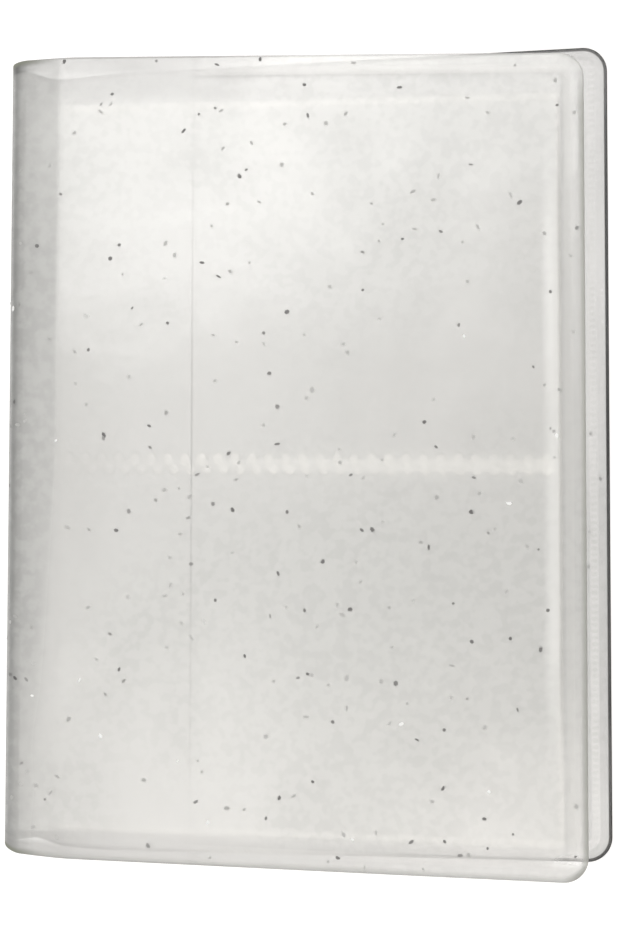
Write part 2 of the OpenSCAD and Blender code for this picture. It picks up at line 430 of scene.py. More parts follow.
def sheet_faces(index, loops, free_start):
    """Faces of both sides and of the rim, then those that close a first row that isn't free.
    Also gives the number of faces before these last ones."""
    rows, columns = index.shape
    below = index.size
    faces = []
    for i in range(rows - 1):
        for j in range(columns - 1):
            a, b, c, d = index[i, j], index[i + 1, j], index[i + 1, j + 1], index[i, j + 1]
            faces.append((a, b, c, d))
            faces.append((below + d, below + c, below + b, below + a))
    length = len(loops[0])
    for first, second in zip(loops, loops[1:]):
        for q in range(length if free_start else length - 1):
            w = (q + 1) % length
            faces.append((first[q], first[w], second[w], second[q]))
    seam_start = len(faces)
    if not free_start:
        for j in range(columns - 1):
            faces.append((index[0, j], index[0, j + 1], below + index[0, j + 1], below + index[0, j]))
        for q in (0, length - 1):
            faces.append(tuple(loop[q] for loop in loops))
    return [tuple(int(v) for v in face) for face in faces], seam_start


def sheet_object(name, grid, thickness, material, free_start, marks=None):
    """Closed thin sheet with a rounded rim, from a middle surface. free_start rounds the first row's rim too.
    marks gives further values at each point, from its run and height."""
    half = thickness / 2
    index = np.arange(grid.run.size).reshape(grid.run.shape)
    path = tuple(rim_path(*grid.run.shape, free_start))
    top = (grid.points + grid.normals * half).reshape(-1, 3)
    low = (grid.points - grid.normals * half).reshape(-1, 3)
    rings = rim_rings(grid.points[path], grid.normals[path], half, free_start)
    verts = np.concatenate([top, low, *rings]) * MM
    rim = index[path]
    ring_loops = [2 * index.size + r * len(rim) + np.arange(len(rim)) for r in range(len(rings))]
    faces, seam_start = sheet_faces(index, [rim, *ring_loops, index.size + rim], free_start)
    mesh = bpy.data.meshes.new(name)
    mesh.from_pydata(verts.tolist(), [], faces)
    shaped = bmesh.new()
    shaped.from_mesh(mesh)
    bmesh.ops.recalc_face_normals(shaped, faces=shaped.faces)
    shaped.faces.index_update()
    for edge in shaped.edges:
        edge.smooth = len({face.index >= seam_start for face in edge.link_faces}) == 1
    shaped.to_mesh(mesh)
    shaped.free()
    seam_faces = (np.arange(len(mesh.polygons)) >= seam_start).astype(np.float32)
    mesh.attributes.new("seam_face", "FLOAT", "FACE").data.foreach_set("value", seam_faces)
    run, y = (np.concatenate([v.ravel(), v.ravel(), *[v[path]] * len(rings)]) for v in (grid.run, grid.y))
    edge_mm = np.concatenate([grid.edge.ravel(), grid.edge.ravel(), np.zeros(len(rings) * len(rim))])
    store(mesh, "edge_mm", np.maximum(edge_mm, 0))
    if marks:
        for key, values in marks(run, y).items():
            store(mesh, key, values)
    uv = mesh.uv_layers.new(name="sheet")
    for loop in mesh.loops:
        v = loop.vertex_index
        uv.data[loop.index].uv = (run[v] / UV_RUN + UV_ZERO[0], y[v] / UV_HEIGHT + UV_ZERO[1])
    for poly in mesh.polygons:
        poly.use_smooth = True
    mesh.materials.append(material)
    return place(name, mesh)


def store(mesh, name, values):
    """Keeps a value at each point of a mesh, for its material."""
    mesh.attributes.new(name, "FLOAT", "POINT").data.foreach_set("value", np.asarray(values, np.float32))


def place(name, mesh):
    """Puts a mesh, light or camera into the scene as an object."""
    obj = bpy.data.objects.new(name, mesh)
    bpy.context.scene.collection.objects.link(obj)
    return obj


# Node helpers

class Nodes:
    """Adds nodes to one tree and links them by socket name."""

    def __init__(self, tree):
        self.tree = tree
        self.column = 0

    def add(self, kind, inputs=None, **settings):
        node = self.tree.nodes.new(kind)
        self.column += 1
        node.location = (self.column * 180, 0)
        for key, value in settings.items():
            setattr(node, key, value)
        for key, value in (inputs or {}).items():
            self.feed(node, key, value)
        return node

    def feed(self, node, key, value):
        socket = node.inputs[key]
        if isinstance(value, bpy.types.NodeSocket):
            self.tree.links.new(value, socket)
        else:
            socket.default_value = value

    def math(self, operation, a, b=0.0, clamp=False):
        return self.add("ShaderNodeMath", {0: a, 1: b}, operation=operation, use_clamp=clamp).outputs[0]

    def plus(self, value, mask, amount, clamp=False):
        """The value, with the amount added where the mask is one."""
        return self.math("ADD", value, self.math("MULTIPLY", mask, amount), clamp)

    def ramp(self, value, low, high, out_low=0.0, out_high=1.0):
        """Soft change from out_low, where the value is low, to out_high."""
        ends = {"From Min": low, "From Max": high, "To Min": out_low, "To Max": out_high}
        node = self.add("ShaderNodeMapRange", {"Value": value, **ends}, interpolation_type="SMOOTHSTEP")
        return node.outputs["Result"]

    def mix(self, factor, a, b):
        """Colour a where the factor is zero, colour b where it is one."""
        a, b = (v if isinstance(v, bpy.types.NodeSocket) else (*v, 1.0) for v in (a, b))
        return self.add("ShaderNodeMix", {0: factor, 6: a, 7: b}, data_type="RGBA").outputs[2]

    def attribute(self, name):
        """A value kept on the mesh."""
        return self.add("ShaderNodeAttribute", attribute_name=name).outputs["Fac"]

    def here(self):
        """Place on the object."""
        return self.add("ShaderNodeTexCoord").outputs["Object"]

    def noise(self, inputs):
        return self.add("ShaderNodeTexNoise", inputs).outputs[0]

    def random(self, low, high, seed):
        """A random vector for each instance."""
        node = self.add("FunctionNodeRandomValue", {0: low, 1: high, "Seed": seed}, data_type="FLOAT_VECTOR")
        return node.outputs[0]


def socket_in(tree, name, kind, value):
    """Adds a named input to a node group."""
    socket = tree.interface.new_socket(name, in_out="INPUT", socket_type=kind)
    socket.default_value = value
    return socket


# Materials

# Noise scale of a sheet's clouding and of its ripple, where it has none of its own
CLOUD_SIZE, RIPPLE_SIZE = 9.0, 45.0
STREAK_STRETCH = (11.0, 17.0, 11.0)
BUMP_DISTANCE = 0.002
FILM_IOR, JACKET_IOR = 1.53, 1.46
# Tone of the painted highlight on strips of the soft cover
STRIP_HIGHLIGHT_TONE = (0.86, 0.86, 0.845)


def shaded(colour, share):
    """The same colour, darker."""
    return tuple(share * c for c in colour)


def soft_plastic_group():
    """Clouding, drawn streaks, mottling and surface ripple that all the sheets share."""
    tree = bpy.data.node_groups.new("soft plastic", "ShaderNodeTree")
    socket_in(tree, "Cloud Size", "NodeSocketFloat", CLOUD_SIZE)
    socket_in(tree, "Ripple Size", "NodeSocketFloat", RIPPLE_SIZE)
    n = Nodes(tree)
    sizes = n.add("NodeGroupInput").outputs
    here = n.here()
    cloud = n.noise({"Vector": here, "Scale": sizes["Cloud Size"], "Detail": 3.0, "Roughness": 0.55})
    stretched = n.add("ShaderNodeMapping", {"Vector": here, "Scale": STREAK_STRETCH}).outputs[0]
    streak = n.noise({"Vector": stretched, "Scale": 3.0, "Detail": 2.0})
    ripple = n.noise({"Vector": here, "Scale": sizes["Ripple Size"], "Detail": 1.5})
    grain = n.noise({"Vector": here, "Scale": 380.0, "Detail": 1.0})
    results = {
        "Cloud": n.ramp(cloud, 0.32, 0.7),
        "Streak": n.ramp(streak, 0.35, 0.68),
        "Mottle": n.math("MULTIPLY", n.ramp(grain, 0.42, 0.62), n.ramp(cloud, 0.38, 0.6)),
        "Height": n.plus(ripple, grain, 0.1)}
    for name in results:
        tree.interface.new_socket(name, in_out="OUTPUT", socket_type="NodeSocketFloat")
    n.add("NodeGroupOutput", results)
    return tree


SOFT_PLASTIC = soft_plastic_group()


def new_material(name):
    """An empty material: itself, its nodes and its shader."""
    material = bpy.data.materials.new(name)
    material.use_nodes = True
    material.node_tree.nodes.clear()
    n = Nodes(material.node_tree)
    shader = n.add("ShaderNodeBsdfPrincipled")
    n.add("ShaderNodeOutputMaterial", {"Surface": shader.outputs[0]})
    return material, n, shader


class Film:
    """Material of one plastic sheet, built up step by step. It is see-through unless alpha is None."""

    def __init__(self, name, pale, deep, alpha, swing, roughness,
                 mottle=0.1, cloud=CLOUD_SIZE, ripple=RIPPLE_SIZE):
        self.material, self.nodes, self.shader = new_material(name)
        self.pale, self.deep, self.swing, self.alpha = pale, deep, swing, None
        n = self.nodes
        sizes = {"Cloud Size": cloud, "Ripple Size": ripple}
        plastic = n.add("ShaderNodeGroup", sizes, node_tree=SOFT_PLASTIC).outputs
        self.streak, self.height = plastic["Streak"], plastic["Height"]
        self.rough = n.ramp(plastic["Cloud"], 0.0, 1.0, roughness * 0.8, roughness * 1.25)
        self.colour = n.mix(plastic["Cloud"], pale, deep)
        self.tint(n.math("MULTIPLY", plastic["Mottle"], mottle), shaded(deep, 0.8))
        if alpha is not None:
            self.alpha = n.ramp(self.streak, 0.0, 1.0, alpha - swing, alpha + swing)

    def tint(self, mask, colour):
        """Takes on a colour where the mask is one."""
        self.colour = self.nodes.mix(mask, self.colour, colour)

    def thicken(self, mask, amount, clamp=False):
        """Lets less through where the mask is one."""
        self.alpha = self.nodes.plus(self.alpha, mask, amount, clamp)

    def dull_unpressed(self, tone):
        """A weld is milky where it is pressed hard, and takes this tone elsewhere."""
        self.colour = self.nodes.mix(self.nodes.attribute("pressed"), tone, self.colour)

    def form_round_spine(self, tone):
        """Worn, dull zone where the sheet is formed round the spine, with painted shade where the crease
        turns and at the ends of the spine.
        """
        n = self.nodes
        zone = n.attribute("hinge_zone")
        worn = n.ramp(n.noise({"Vector": n.here(), "Scale": 330.0, "Detail": 2.0}), 0.35, 0.65)
        formed = n.mix(worn, tone, shaded(tone, 0.86))
        self.tint(zone, n.mix(n.attribute("painted_crease_shade"), formed, shaded(tone, 0.33)))
        self.thicken(zone, 0.25)
        self.thicken(n.attribute("drawn_end"), 0.22)
        self.rough = n.plus(self.rough, zone, 0.3)

    def press_weld(self, tone, more_alpha):
        """Knurled band along the weld of the flap."""
        n = self.nodes
        edge = n.attribute("edge_mm")
        outer_slope = n.ramp(edge, FLAP_WELD_IN - 0.3, FLAP_WELD_IN + 0.2)
        inner_slope = n.ramp(edge, FLAP_WELD_END + 0.3, FLAP_WELD_END - 0.2)
        band = n.math("MULTIPLY", n.math("MULTIPLY", outer_slope, inner_slope), n.attribute("weld_zone"))
        on_sheet = n.add("ShaderNodeUVMap", uv_map="sheet").outputs[0]
        dots = n.add("ShaderNodeTexVoronoi", {"Vector": on_sheet, "Scale": 230.0})
        knurl = n.ramp(dots.outputs["Distance"], 0.15, 0.55)
        soft_band = n.math("MULTIPLY", band, n.ramp(knurl, 0.0, 1.0, 0.59, 0.54))
        self.tint(soft_band, tone)
        self.thicken(soft_band, more_alpha)
        self.height = n.plus(self.height, n.math("MULTIPLY", band, knurl), 0.05)

    def paint_stack_shade_and_highlight(self, border_shade, border_alpha):
        """Painted shade on the borders with no leaf behind them, painted highlight on the strip and painted
        shade in the crease round the leaf stack.
        """
        n = self.nodes
        border = n.attribute("painted_border_shade")
        strip = n.attribute("stack_ridge_and_highlight")
        self.tint(border, shaded(self.pale, border_shade))
        self.tint(n.math("MULTIPLY", strip, 0.6), STRIP_HIGHLIGHT_TONE)
        self.tint(n.math("MULTIPLY", n.attribute("painted_stack_crease"), 0.5), shaded(self.deep, 0.6))
        self.thicken(border, border_alpha)
        self.thicken(strip, 0.1)

    def paint_cut_edge_shade(self, tone, start, full, more_alpha):
        """Painted dark line of shade along the cut edge, which is also rougher there. It starts this far in
        from the edge and is full this far in.
        """
        n = self.nodes
        line = n.math("MULTIPLY", n.ramp(n.attribute("edge_mm"), start, full), n.attribute("painted_rim_shade"))
        self.tint(line, tone)
        self.thicken(line, more_alpha, clamp=True)
        self.rough = n.plus(self.rough, line, 0.7, clamp=True)

    def hide_seam(self):
        """The halves of the jacket are one sheet, so the faces where they meet in the spine stay unseen."""
        n = self.nodes
        self.alpha = n.math("MULTIPLY", self.alpha, n.math("SUBTRACT", 1.0, n.attribute("seam_face")))

    def finish(self, bump, ior=FILM_IOR):
        """Feeds the shader. Streaks tint a sheet that isn't see-through."""
        n = self.nodes
        if self.alpha is None:
            self.tint(n.ramp(self.streak, 0.0, 1.0, 0.0, self.swing * 4), shaded(self.deep, 0.93))
        else:
            n.feed(self.shader, "Alpha", self.alpha)
        bumped = n.add("ShaderNodeBump", {"Height": self.height, "Strength": bump, "Distance": BUMP_DISTANCE})
        n.feed(self.shader, "Base Color", self.colour)
        n.feed(self.shader, "Roughness", self.rough)
        n.feed(self.shader, "Normal", bumped.outputs[0])
        n.feed(self.shader, "IOR", ior)
        return self.material


def front_sheet_material():
    """Soft milky sheet with painted shade and highlight round the leaf stack."""
    pale, deep = (0.645, 0.642, 0.63), (0.597, 0.60, 0.587)
    film = Film("front cover sheet", pale, deep, alpha=0.45, swing=0.012, roughness=0.2, mottle=0.35)
    film.form_round_spine((0.475, 0.478, 0.468))
    film.press_weld((0.66, 0.655, 0.64), more_alpha=0.02)
    film.paint_stack_shade_and_highlight(border_shade=0.64, border_alpha=0.29)
    film.paint_cut_edge_shade((0.25, 0.26, 0.215), start=1.9, full=0.3, more_alpha=0.3)
    film.hide_seam()
    return film.finish(bump=0.12, ior=JACKET_IOR)


def back_sheet_material():
    """The same sheet, painted darker as shade for the shaded side, with painted shade along its cut edge."""
    # These tones are the front sheet's, darkened as painted shade
    pale, deep = (0.46, 0.46, 0.457), (0.42, 0.422, 0.42)
    film = Film("back cover sheet", pale, deep, alpha=0.52, swing=0.012, roughness=0.45, mottle=0.35)
    film.form_round_spine((0.54, 0.54, 0.532))
    film.press_weld((0.7, 0.7, 0.69), more_alpha=0.04)
    film.paint_cut_edge_shade((0.002, 0.002, 0.003), start=0.95, full=0.7, more_alpha=0.55)
    film.hide_seam()
    return film.finish(bump=0.05, ior=JACKET_IOR)


def flap_sheet_material():
    """Clear sheet with painted shade along its free edge."""
    pale, deep = (0.72, 0.72, 0.705), (0.66, 0.665, 0.65)
    film = Film("flap sheet", pale, deep, alpha=0.06, swing=0.01, roughness=0.12)
    film.paint_cut_edge_shade((0.24, 0.24, 0.23), start=0.55, full=0.38, more_alpha=0.5)
    return film.finish(bump=0.06)


def flap_weld_material():
    """Nearly clear, so that only the knurled band of the cover shows."""
    pale, deep = (0.57, 0.57, 0.56), (0.53, 0.53, 0.52)
    film = Film("flap weld", pale, deep, alpha=0.03, swing=0.01, roughness=0.75, cloud=60.0)
    return film.finish(bump=0.05)


def pocket_film_material():
    """Clear film of a pocket."""
    pale, deep = (0.78, 0.785, 0.77), (0.72, 0.725, 0.71)
    film = Film("pocket film", pale, deep, alpha=0.13, swing=0.015, roughness=0.16, ripple=30.0)
    return film.finish(bump=0.05)


def divider_material():
    """Solid grey sheet between the pockets."""
    pale, deep = (0.58, 0.582, 0.572), (0.52, 0.525, 0.515)
    film = Film("divider sheet", pale, deep, alpha=None, swing=0.02, roughness=0.4)
    return film.finish(bump=0.05)


def weld_material():
    """Milky heat weld of a leaf."""
    pale, deep = (0.98, 0.965, 0.92), (0.92, 0.905, 0.86)
    film = Film("heat weld", pale, deep, alpha=None, swing=0.08, roughness=0.3, cloud=60.0)
    film.dull_unpressed((0.58, 0.58, 0.57))
    return film.finish(bump=0.08)


def binding_material():
    """Solid strip inside the spine."""
    pale, deep = (0.52, 0.515, 0.49), (0.44, 0.435, 0.42)
    film = Film("binding strip", pale, deep, alpha=None, swing=0.05, roughness=0.45, cloud=40.0)
    return film.finish(bump=0.15)


def flake_material():
    """Glitter flakes from dark to dull by their own tone, and a few bright ones."""
    material, n, shader = new_material("glitter flakes")
    tone = n.attribute("flake_tone")
    spots = n.noise({"Vector": n.here(), "Scale": 1500.0})
    dark = n.mix(spots, (0.09, 0.09, 0.092), (0.19, 0.185, 0.18))
    bright = n.mix(spots, (0.80, 0.80, 0.79), (0.9, 0.9, 0.9))
    dull = n.mix(n.ramp(tone, 0.1, 0.6), dark, (0.45, 0.45, 0.44))
    bumped = n.add("ShaderNodeBump", {"Height": spots, "Strength": 0.2, "Distance": 0.0002})
    n.feed(shader, "Base Color", n.mix(n.ramp(tone, 0.92, 0.94), dull, bright))
    n.feed(shader, "Metallic", n.ramp(tone, 0.1, 0.6, 0.25, 0.0))
    n.feed(shader, "Roughness", n.ramp(tone, 0.0, 1.0, 0.5, 0.4))
    n.feed(shader, "Normal", bumped.outputs[0])
    return material


SHEETS = {"front": front_sheet_material(), "back": back_sheet_material()}
FLAP_SHEET = flap_sheet_material()
FLAP_WELD = flap_weld_material()
POCKET_FILM = pocket_film_material()
DIVIDER = divider_material()
WELD = weld_material()
BINDING = binding_material()
FLAKES = flake_material()


# Geometry nodes

def node_group(name, inputs):
    """A geometry tree with named inputs: itself, its nodes, its input's sockets and their identifiers."""
    tree = bpy.data.node_groups.new(name, "GeometryNodeTree")
    tree.interface.new_socket("Geometry", in_out="INPUT", socket_type="NodeSocketGeometry")
    ids = {}
    for key, (kind, value) in inputs.items():
        ids[key] = socket_in(tree, key, f"NodeSocket{kind}", value).identifier
    tree.interface.new_socket("Geometry", in_out="OUTPUT", socket_type="NodeSocketGeometry")
    n = Nodes(tree)
    return tree, n, n.add("NodeGroupInput").outputs, ids


def real_and_painted(n, geometry, material):
    """Ends a tree: makes its instances real and gives them a material."""
    real = n.add("GeometryNodeRealizeInstances", {"Geometry": geometry})
    painted = n.add("GeometryNodeSetMaterial", {"Geometry": real.outputs[0], "Material": material})
    n.add("NodeGroupOutput", {"Geometry": painted.outputs[0]})


def flake_group():
    """Scatters thin six-sided flakes over a surface, each with its own tilt, size and tone."""
    tree, n, given, ids = node_group("glitter scatter", {
        "Density": ("Float", FLAKE_DENSITY), "Flake Size": ("Float", FLAKE_R * MM), "Seed": ("Int", 0)})
    patches = n.ramp(n.noise({"Scale": 55.0, "Detail": 1.0}), 0.36, 0.64, 0.25, 1.9)
    points = n.add("GeometryNodeDistributePointsOnFaces", {
        "Mesh": given["Geometry"], "Density": n.math("MULTIPLY", given["Density"], patches),
        "Seed": given["Seed"]}, distribute_method="RANDOM").outputs
    flake = n.add("GeometryNodeMeshCylinder", {
        "Vertices": 6, "Radius": given["Flake Size"], "Depth": FLAKE_T * MM})
    tilt = n.random((-FLAKE_TILT, -FLAKE_TILT, -3.14), (FLAKE_TILT, FLAKE_TILT, 3.14), TILT_SEED)
    turned = n.add("FunctionNodeEulerToRotation", {"Euler": tilt}).outputs[0]
    lay = n.add("FunctionNodeRotateRotation", {"Rotation": points["Rotation"], "Rotate By": turned},
                rotation_space="LOCAL").outputs[0]
    size = n.random((0.55, 0.45, 1.0), (1.6, 1.15, 1.0), SIZE_SEED)
    spread = n.add("GeometryNodeInstanceOnPoints", {
        "Points": points["Points"], "Instance": flake.outputs["Mesh"], "Rotation": lay, "Scale": size})
    tone = n.add("FunctionNodeRandomValue", {"Seed": TONE_SEED}, data_type="FLOAT")
    marked = n.add("GeometryNodeStoreNamedAttribute", {"Geometry": spread.outputs[0], "Name": "flake_tone"},
                   data_type="FLOAT", domain="INSTANCE")
    n.feed(marked, "Value", tone.outputs[1])
    real_and_painted(n, marked.outputs[0], FLAKES)
    return tree, ids


def teeth_group():
    """Adds a row of pressed teeth to a weld bar that starts at its origin and runs along x."""
    tree, n, given, ids = node_group("weld teeth", {
        "Count": ("Int", 20), "Pitch": ("Float", 0.004), "Tooth Long": ("Float", 0.0015),
        "Tooth Wide": ("Float", 0.002), "Tooth High": ("Float", 0.0001), "Side": ("Float", 0.0)})
    step = n.add("ShaderNodeCombineXYZ", {"X": given["Pitch"]}).outputs[0]
    half_pitch = n.math("MULTIPLY", given["Pitch"], 0.5)
    first = n.add("ShaderNodeCombineXYZ", {"X": half_pitch, "Y": given["Side"]}).outputs[0]
    line = n.add("GeometryNodeMeshLine", {"Count": given["Count"], "Start Location": first, "Offset": step})
    tooth = n.add("GeometryNodeMeshUVSphere", {"Segments": 8, "Rings": 4, "Radius": 1.0})
    scale = n.add("ShaderNodeCombineXYZ", {
        "X": given["Tooth Long"], "Y": given["Tooth Wide"], "Z": given["Tooth High"]}).outputs[0]
    row = n.add("GeometryNodeInstanceOnPoints", {
        "Points": line.outputs[0], "Instance": tooth.outputs[0], "Scale": scale})
    both = n.add("GeometryNodeJoinGeometry")
    tree.links.new(row.outputs[0], both.inputs[0])
    tree.links.new(given["Geometry"], both.inputs[0])
    real_and_painted(n, both.outputs[0], WELD)
    return tree, ids


FLAKE_TREE, FLAKE_IDS = flake_group()
TEETH_TREE, TEETH_IDS = teeth_group()


def made_by_nodes(host, tree, ids, values):
    """The mesh that a node tree makes from a host object; the host is removed."""
    mod = host.modifiers.new("made", "NODES")
    mod.node_group = tree
    for key, value in values.items():
        mod[ids[key]] = value
    bpy.context.view_layer.update()
    graph = bpy.context.evaluated_depsgraph_get()
    mesh = bpy.data.meshes.new_from_object(host.evaluated_get(graph), depsgraph=graph)
    host.modifiers.remove(mod)
    old = host.data
    bpy.data.objects.remove(host)
    bpy.data.meshes.remove(old)
    return mesh


# Jacket pieces

def outer_skin(grid):
    """The outer face of a jacket sheet alone, without its rim, for scattering."""
    verts = ((grid.points + grid.normals * SHEET_T / 2) * MM).reshape(-1, 3)
    index = np.arange(grid.run.size).reshape(grid.run.shape)
    quads = np.stack([index[:-1, :-1], index[1:, :-1], index[1:, 1:], index[:-1, 1:]], -1).reshape(-1, 4)
    clear_of_rim = grid.edge.ravel()[quads].min(1) > 0.9
    mesh = bpy.data.meshes.new("skin")
    mesh.from_pydata(verts.tolist(), [], quads[clear_of_rim].tolist())
    return place("skin", mesh)


def jacket_half(cover):
    """One half of the jacket, from the middle of the spine to its fore-edge, with its flakes.
    Both are shaped round the crease."""
    side = cover.side
    inset = SHEET_T / 2
    rows = section(cover, run_stations(0.0, PANEL_W - inset, CORNER_R - inset, True))
    grid = sheet_grid(cover, rows, SHEET_T / 2, inset, True)
    marks = front_marks if cover is FRONT else back_marks
    sheet = sheet_object(f"{side}_jacket_sheet", grid, SHEET_T, SHEETS[side], False, marks)
    flakes = place(f"{side}_glitter", made_by_nodes(outer_skin(grid), FLAKE_TREE, FLAKE_IDS, {
        "Density": FLAKE_DENSITY, "Flake Size": FLAKE_R * MM, "Seed": FLAKE_SEEDS[side]}))
    for piece in (sheet, flakes):
        if cover is FRONT:
            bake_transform(piece)
        else:
            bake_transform(piece)
    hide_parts(f"{side}_cover", "spine_panel")


def flap(cover):
    """Clear sheet inside a cover, which starts at its free edge."""
    side = cover.side
    inset = FLAP_T / 2
    start = FLAP_START + inset
    rows = section(cover, run_stations(start, PANEL_W - inset, CORNER_R - inset))
    rows = rows[rows[:, 4] >= start - 1e-6]
    grid = sheet_grid(cover, rows, SHEET_T + FLAP_GAP + FLAP_T / 2, inset)
    grid = grid._replace(edge=np.minimum(grid.edge, grid.run - FLAP_START))
    sheet = sheet_object(f"{side}_flap_sheet", grid, FLAP_T, FLAP_SHEET, True, flap_marks)
    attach(sheet, f"{side}_cover_body")
    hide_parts(f"{side}_flap")


def weld_bar(length, width, gap, teeth):
    """Mesh of one weld bar along x from the origin, with bevelled sides and pressed teeth, to fill a gap."""
    pitch, tooth_long, tooth_wide, side = teeth
    mesh = bpy.data.meshes.new("bar")
    shaped = bmesh.new()
    bmesh.ops.create_cube(shaped, size=1.0)
    for v in shaped.verts:
        v.co = Vector(((v.co.x + 0.5) * length, v.co.y * width, v.co.z * gap * BAR_SHARE)) * MM
    bmesh.ops.bevel(shaped, geom=list(shaped.edges), offset=gap * BEVEL_SHARE * MM, segments=2,
                    affect="EDGES", profile=0.5)
    shaped.to_mesh(mesh)
    shaped.free()
    count = max(1, int(length / pitch))
    return made_by_nodes(place("bar", mesh), TEETH_TREE, TEETH_IDS, {
        "Count": count, "Pitch": length / count * MM, "Side": side * MM, "Tooth Long": tooth_long * MM,
        "Tooth Wide": tooth_wide * MM, "Tooth High": gap * TOOTH_SHARE * MM})


def joined(name, parts, material):
    """One object from (mesh, matrix) pairs."""
    shaped = bmesh.new()
    for mesh, matrix in parts:
        start = len(shaped.verts)
        shaped.from_mesh(mesh)
        shaped.verts.ensure_lookup_table()
        bmesh.ops.transform(shaped, matrix=matrix, verts=shaped.verts[start:])
    mesh = bpy.data.meshes.new(name)
    shaped.to_mesh(mesh)
    shaped.free()
    mesh.materials.clear()
    mesh.materials.append(material)
    for poly in mesh.polygons:
        poly.material_index = 0
        poly.use_smooth = True
    return place(name, mesh)


def at(x, y, z, upright=False):
    """Matrix that puts a weld bar at a place, along x or upright along y."""
    turn = Matrix.Rotation(math.pi / 2, 4, "Z") if upright else Matrix.Identity(4)
    return Matrix.Translation((x * MM, y * MM, z * MM)) @ turn


def flap_welds(cover):
    """Weld bars at the head, foot and fore-edge of a flap, laid flat and then bent to the cover."""
    side = cover.side
    tall_foot = -HALF_H + FLAP_WELD_END + FLAP_WELD_CLEAR
    long = weld_bar(FLAP_W - FLAP_WELD_IN - FLAP_WELD_CLEAR, FLAP_WELD_W, FLAP_GAP, FLAP_TEETH)
    tall = weld_bar(-2 * tall_foot, FLAP_WELD_W, FLAP_GAP, FLAP_TEETH)
    inward = FLAP_WELD_IN + FLAP_WELD_W / 2
    start = FLAP_START + FLAP_WELD_CLEAR / 2
    depth = SHEET_T + FLAP_GAP / 2
    parts = [(long, at(start, HALF_H - inward, depth)),
             (long, at(start, inward - HALF_H, depth)),
             (tall, at(PANEL_W - inward, tall_foot, depth, True))]
    obj = joined(f"{side}_flap_weld_bars", parts, FLAP_WELD)
    run, y, depth = np.array([v.co for v in obj.data.vertices]).T / MM
    out = -weld_groove(run, y) - depth
    low = 0 * run
    if cover is FRONT:
        out = out + cover_wave(run, y)
        low = DROOP * run
    panel = cover.arc + CREASE_R * cover.out
    x = panel[0] + cover.along[0] * run + cover.out[0] * out - X_MID
    z = panel[1] + cover.along[1] * run + cover.out[1] * out
    co = np.stack([x, y - low, z], -1) * MM
    obj.data.vertices.foreach_set("co", co.astype(np.float32).ravel())
    face_outwards(obj.data)
    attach(obj, f"{side}_cover_body")
    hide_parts(f"{side}_flap_weld")


def face_outwards(mesh):
    """Turns all the faces of a mesh outwards."""
    shaped = bmesh.new()
    shaped.from_mesh(mesh)
    bmesh.ops.recalc_face_normals(shaped, faces=shaped.faces)
    shaped.to_mesh(mesh)
    shaped.free()
    mesh.update()


def binding_profile():
    """Outline of the binding strip: distance inward from the line between the creases' centres,
    and distance up the spine."""
    back = SHEET_T - CREASE_R
    face = back + STRIP_T
    profile = [(back, 0.35), (back, SPINE_LEN - 0.35), (back + STRIP_EDGE, SPINE_LEN),
               (face - STRIP_EDGE, SPINE_LEN), (face - 0.05, SPINE_LEN - STRIP_EDGE)]
    for k in range(len(LEAVES)):
        root = SPINE_LEN / 2 + ((len(LEAVES) - 1) / 2 - k) * ROOT_PITCH
        for angle in np.linspace(math.pi / 2, -math.pi / 2, 7):
            inward = face - BEAD_SINK + BEAD_OUT * math.cos(angle)
            profile.append((inward, root + BEAD_HALF * math.sin(angle)))
    return profile + [(face - 0.05, STRIP_EDGE), (face - STRIP_EDGE, 0.0), (back + STRIP_EDGE, 0.0)]


def binding():
    """Strip inside the spine, with a fused bead at each leaf root and slightly rounded ends."""
    profile = binding_profile()
    centre = np.mean(profile, 0)
    # Stations up the strip, and the size of its section at the first and last two of them
    first, last = [0, 0.25, 0.8], [LEAF_H - 0.8, LEAF_H - 0.25, LEAF_H]
    stations = np.concatenate([first, np.linspace(4, LEAF_H - 4, 40), last]) - LEAF_H / 2 - LEAF_DROP
    sizes = np.ones(len(stations))
    sizes[[0, -1]] = 0.93
    sizes[[1, -2]] = 0.985
    rows = []
    for y, size in zip(stations, sizes):
        for inward, up in centre + (np.array(profile) - centre) * size:
            p = BACK.arc - inward * SPINE_OUT + up * SPINE_UP
            rows.append(((p[0] - X_MID) * MM, y * MM, p[1] * MM))
    m = len(profile)
    faces = [(r * m + q, r * m + (q + 1) % m, (r + 1) * m + (q + 1) % m, (r + 1) * m + q)
             for r in range(len(stations) - 1) for q in range(m)]
    faces += [tuple(range(m)), tuple((len(stations) - 1) * m + q for q in range(m))]
    mesh = bpy.data.meshes.new("binding_bar")
    mesh.from_pydata(rows, [], faces)
    face_outwards(mesh)
    mesh.materials.append(BINDING)
    obj = place("binding_bar", mesh)
    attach(obj, "spine_body")
    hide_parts("binding_strip")


# Leaves

def leaf_matrix(name):
    """From a leaf's own frame, with its root along y and the leaf along x, to its rest place."""
    root = JOINTS[f"{name}_turn"]["pos_m"]
    from_back = len(LEAVES) - int(name[-2:]) + 1
    fore_z = STACK_BASE + from_back * (LEAF_T + LEAF_CLEAR) - LEAF_T / 2
    slope = math.asin((root[2] / MM - fore_z) / LEAF_W)
    return Matrix.Translation((root[0], -LEAF_DROP * MM, root[2])) @ Matrix.Rotation(slope, 4, "Y")


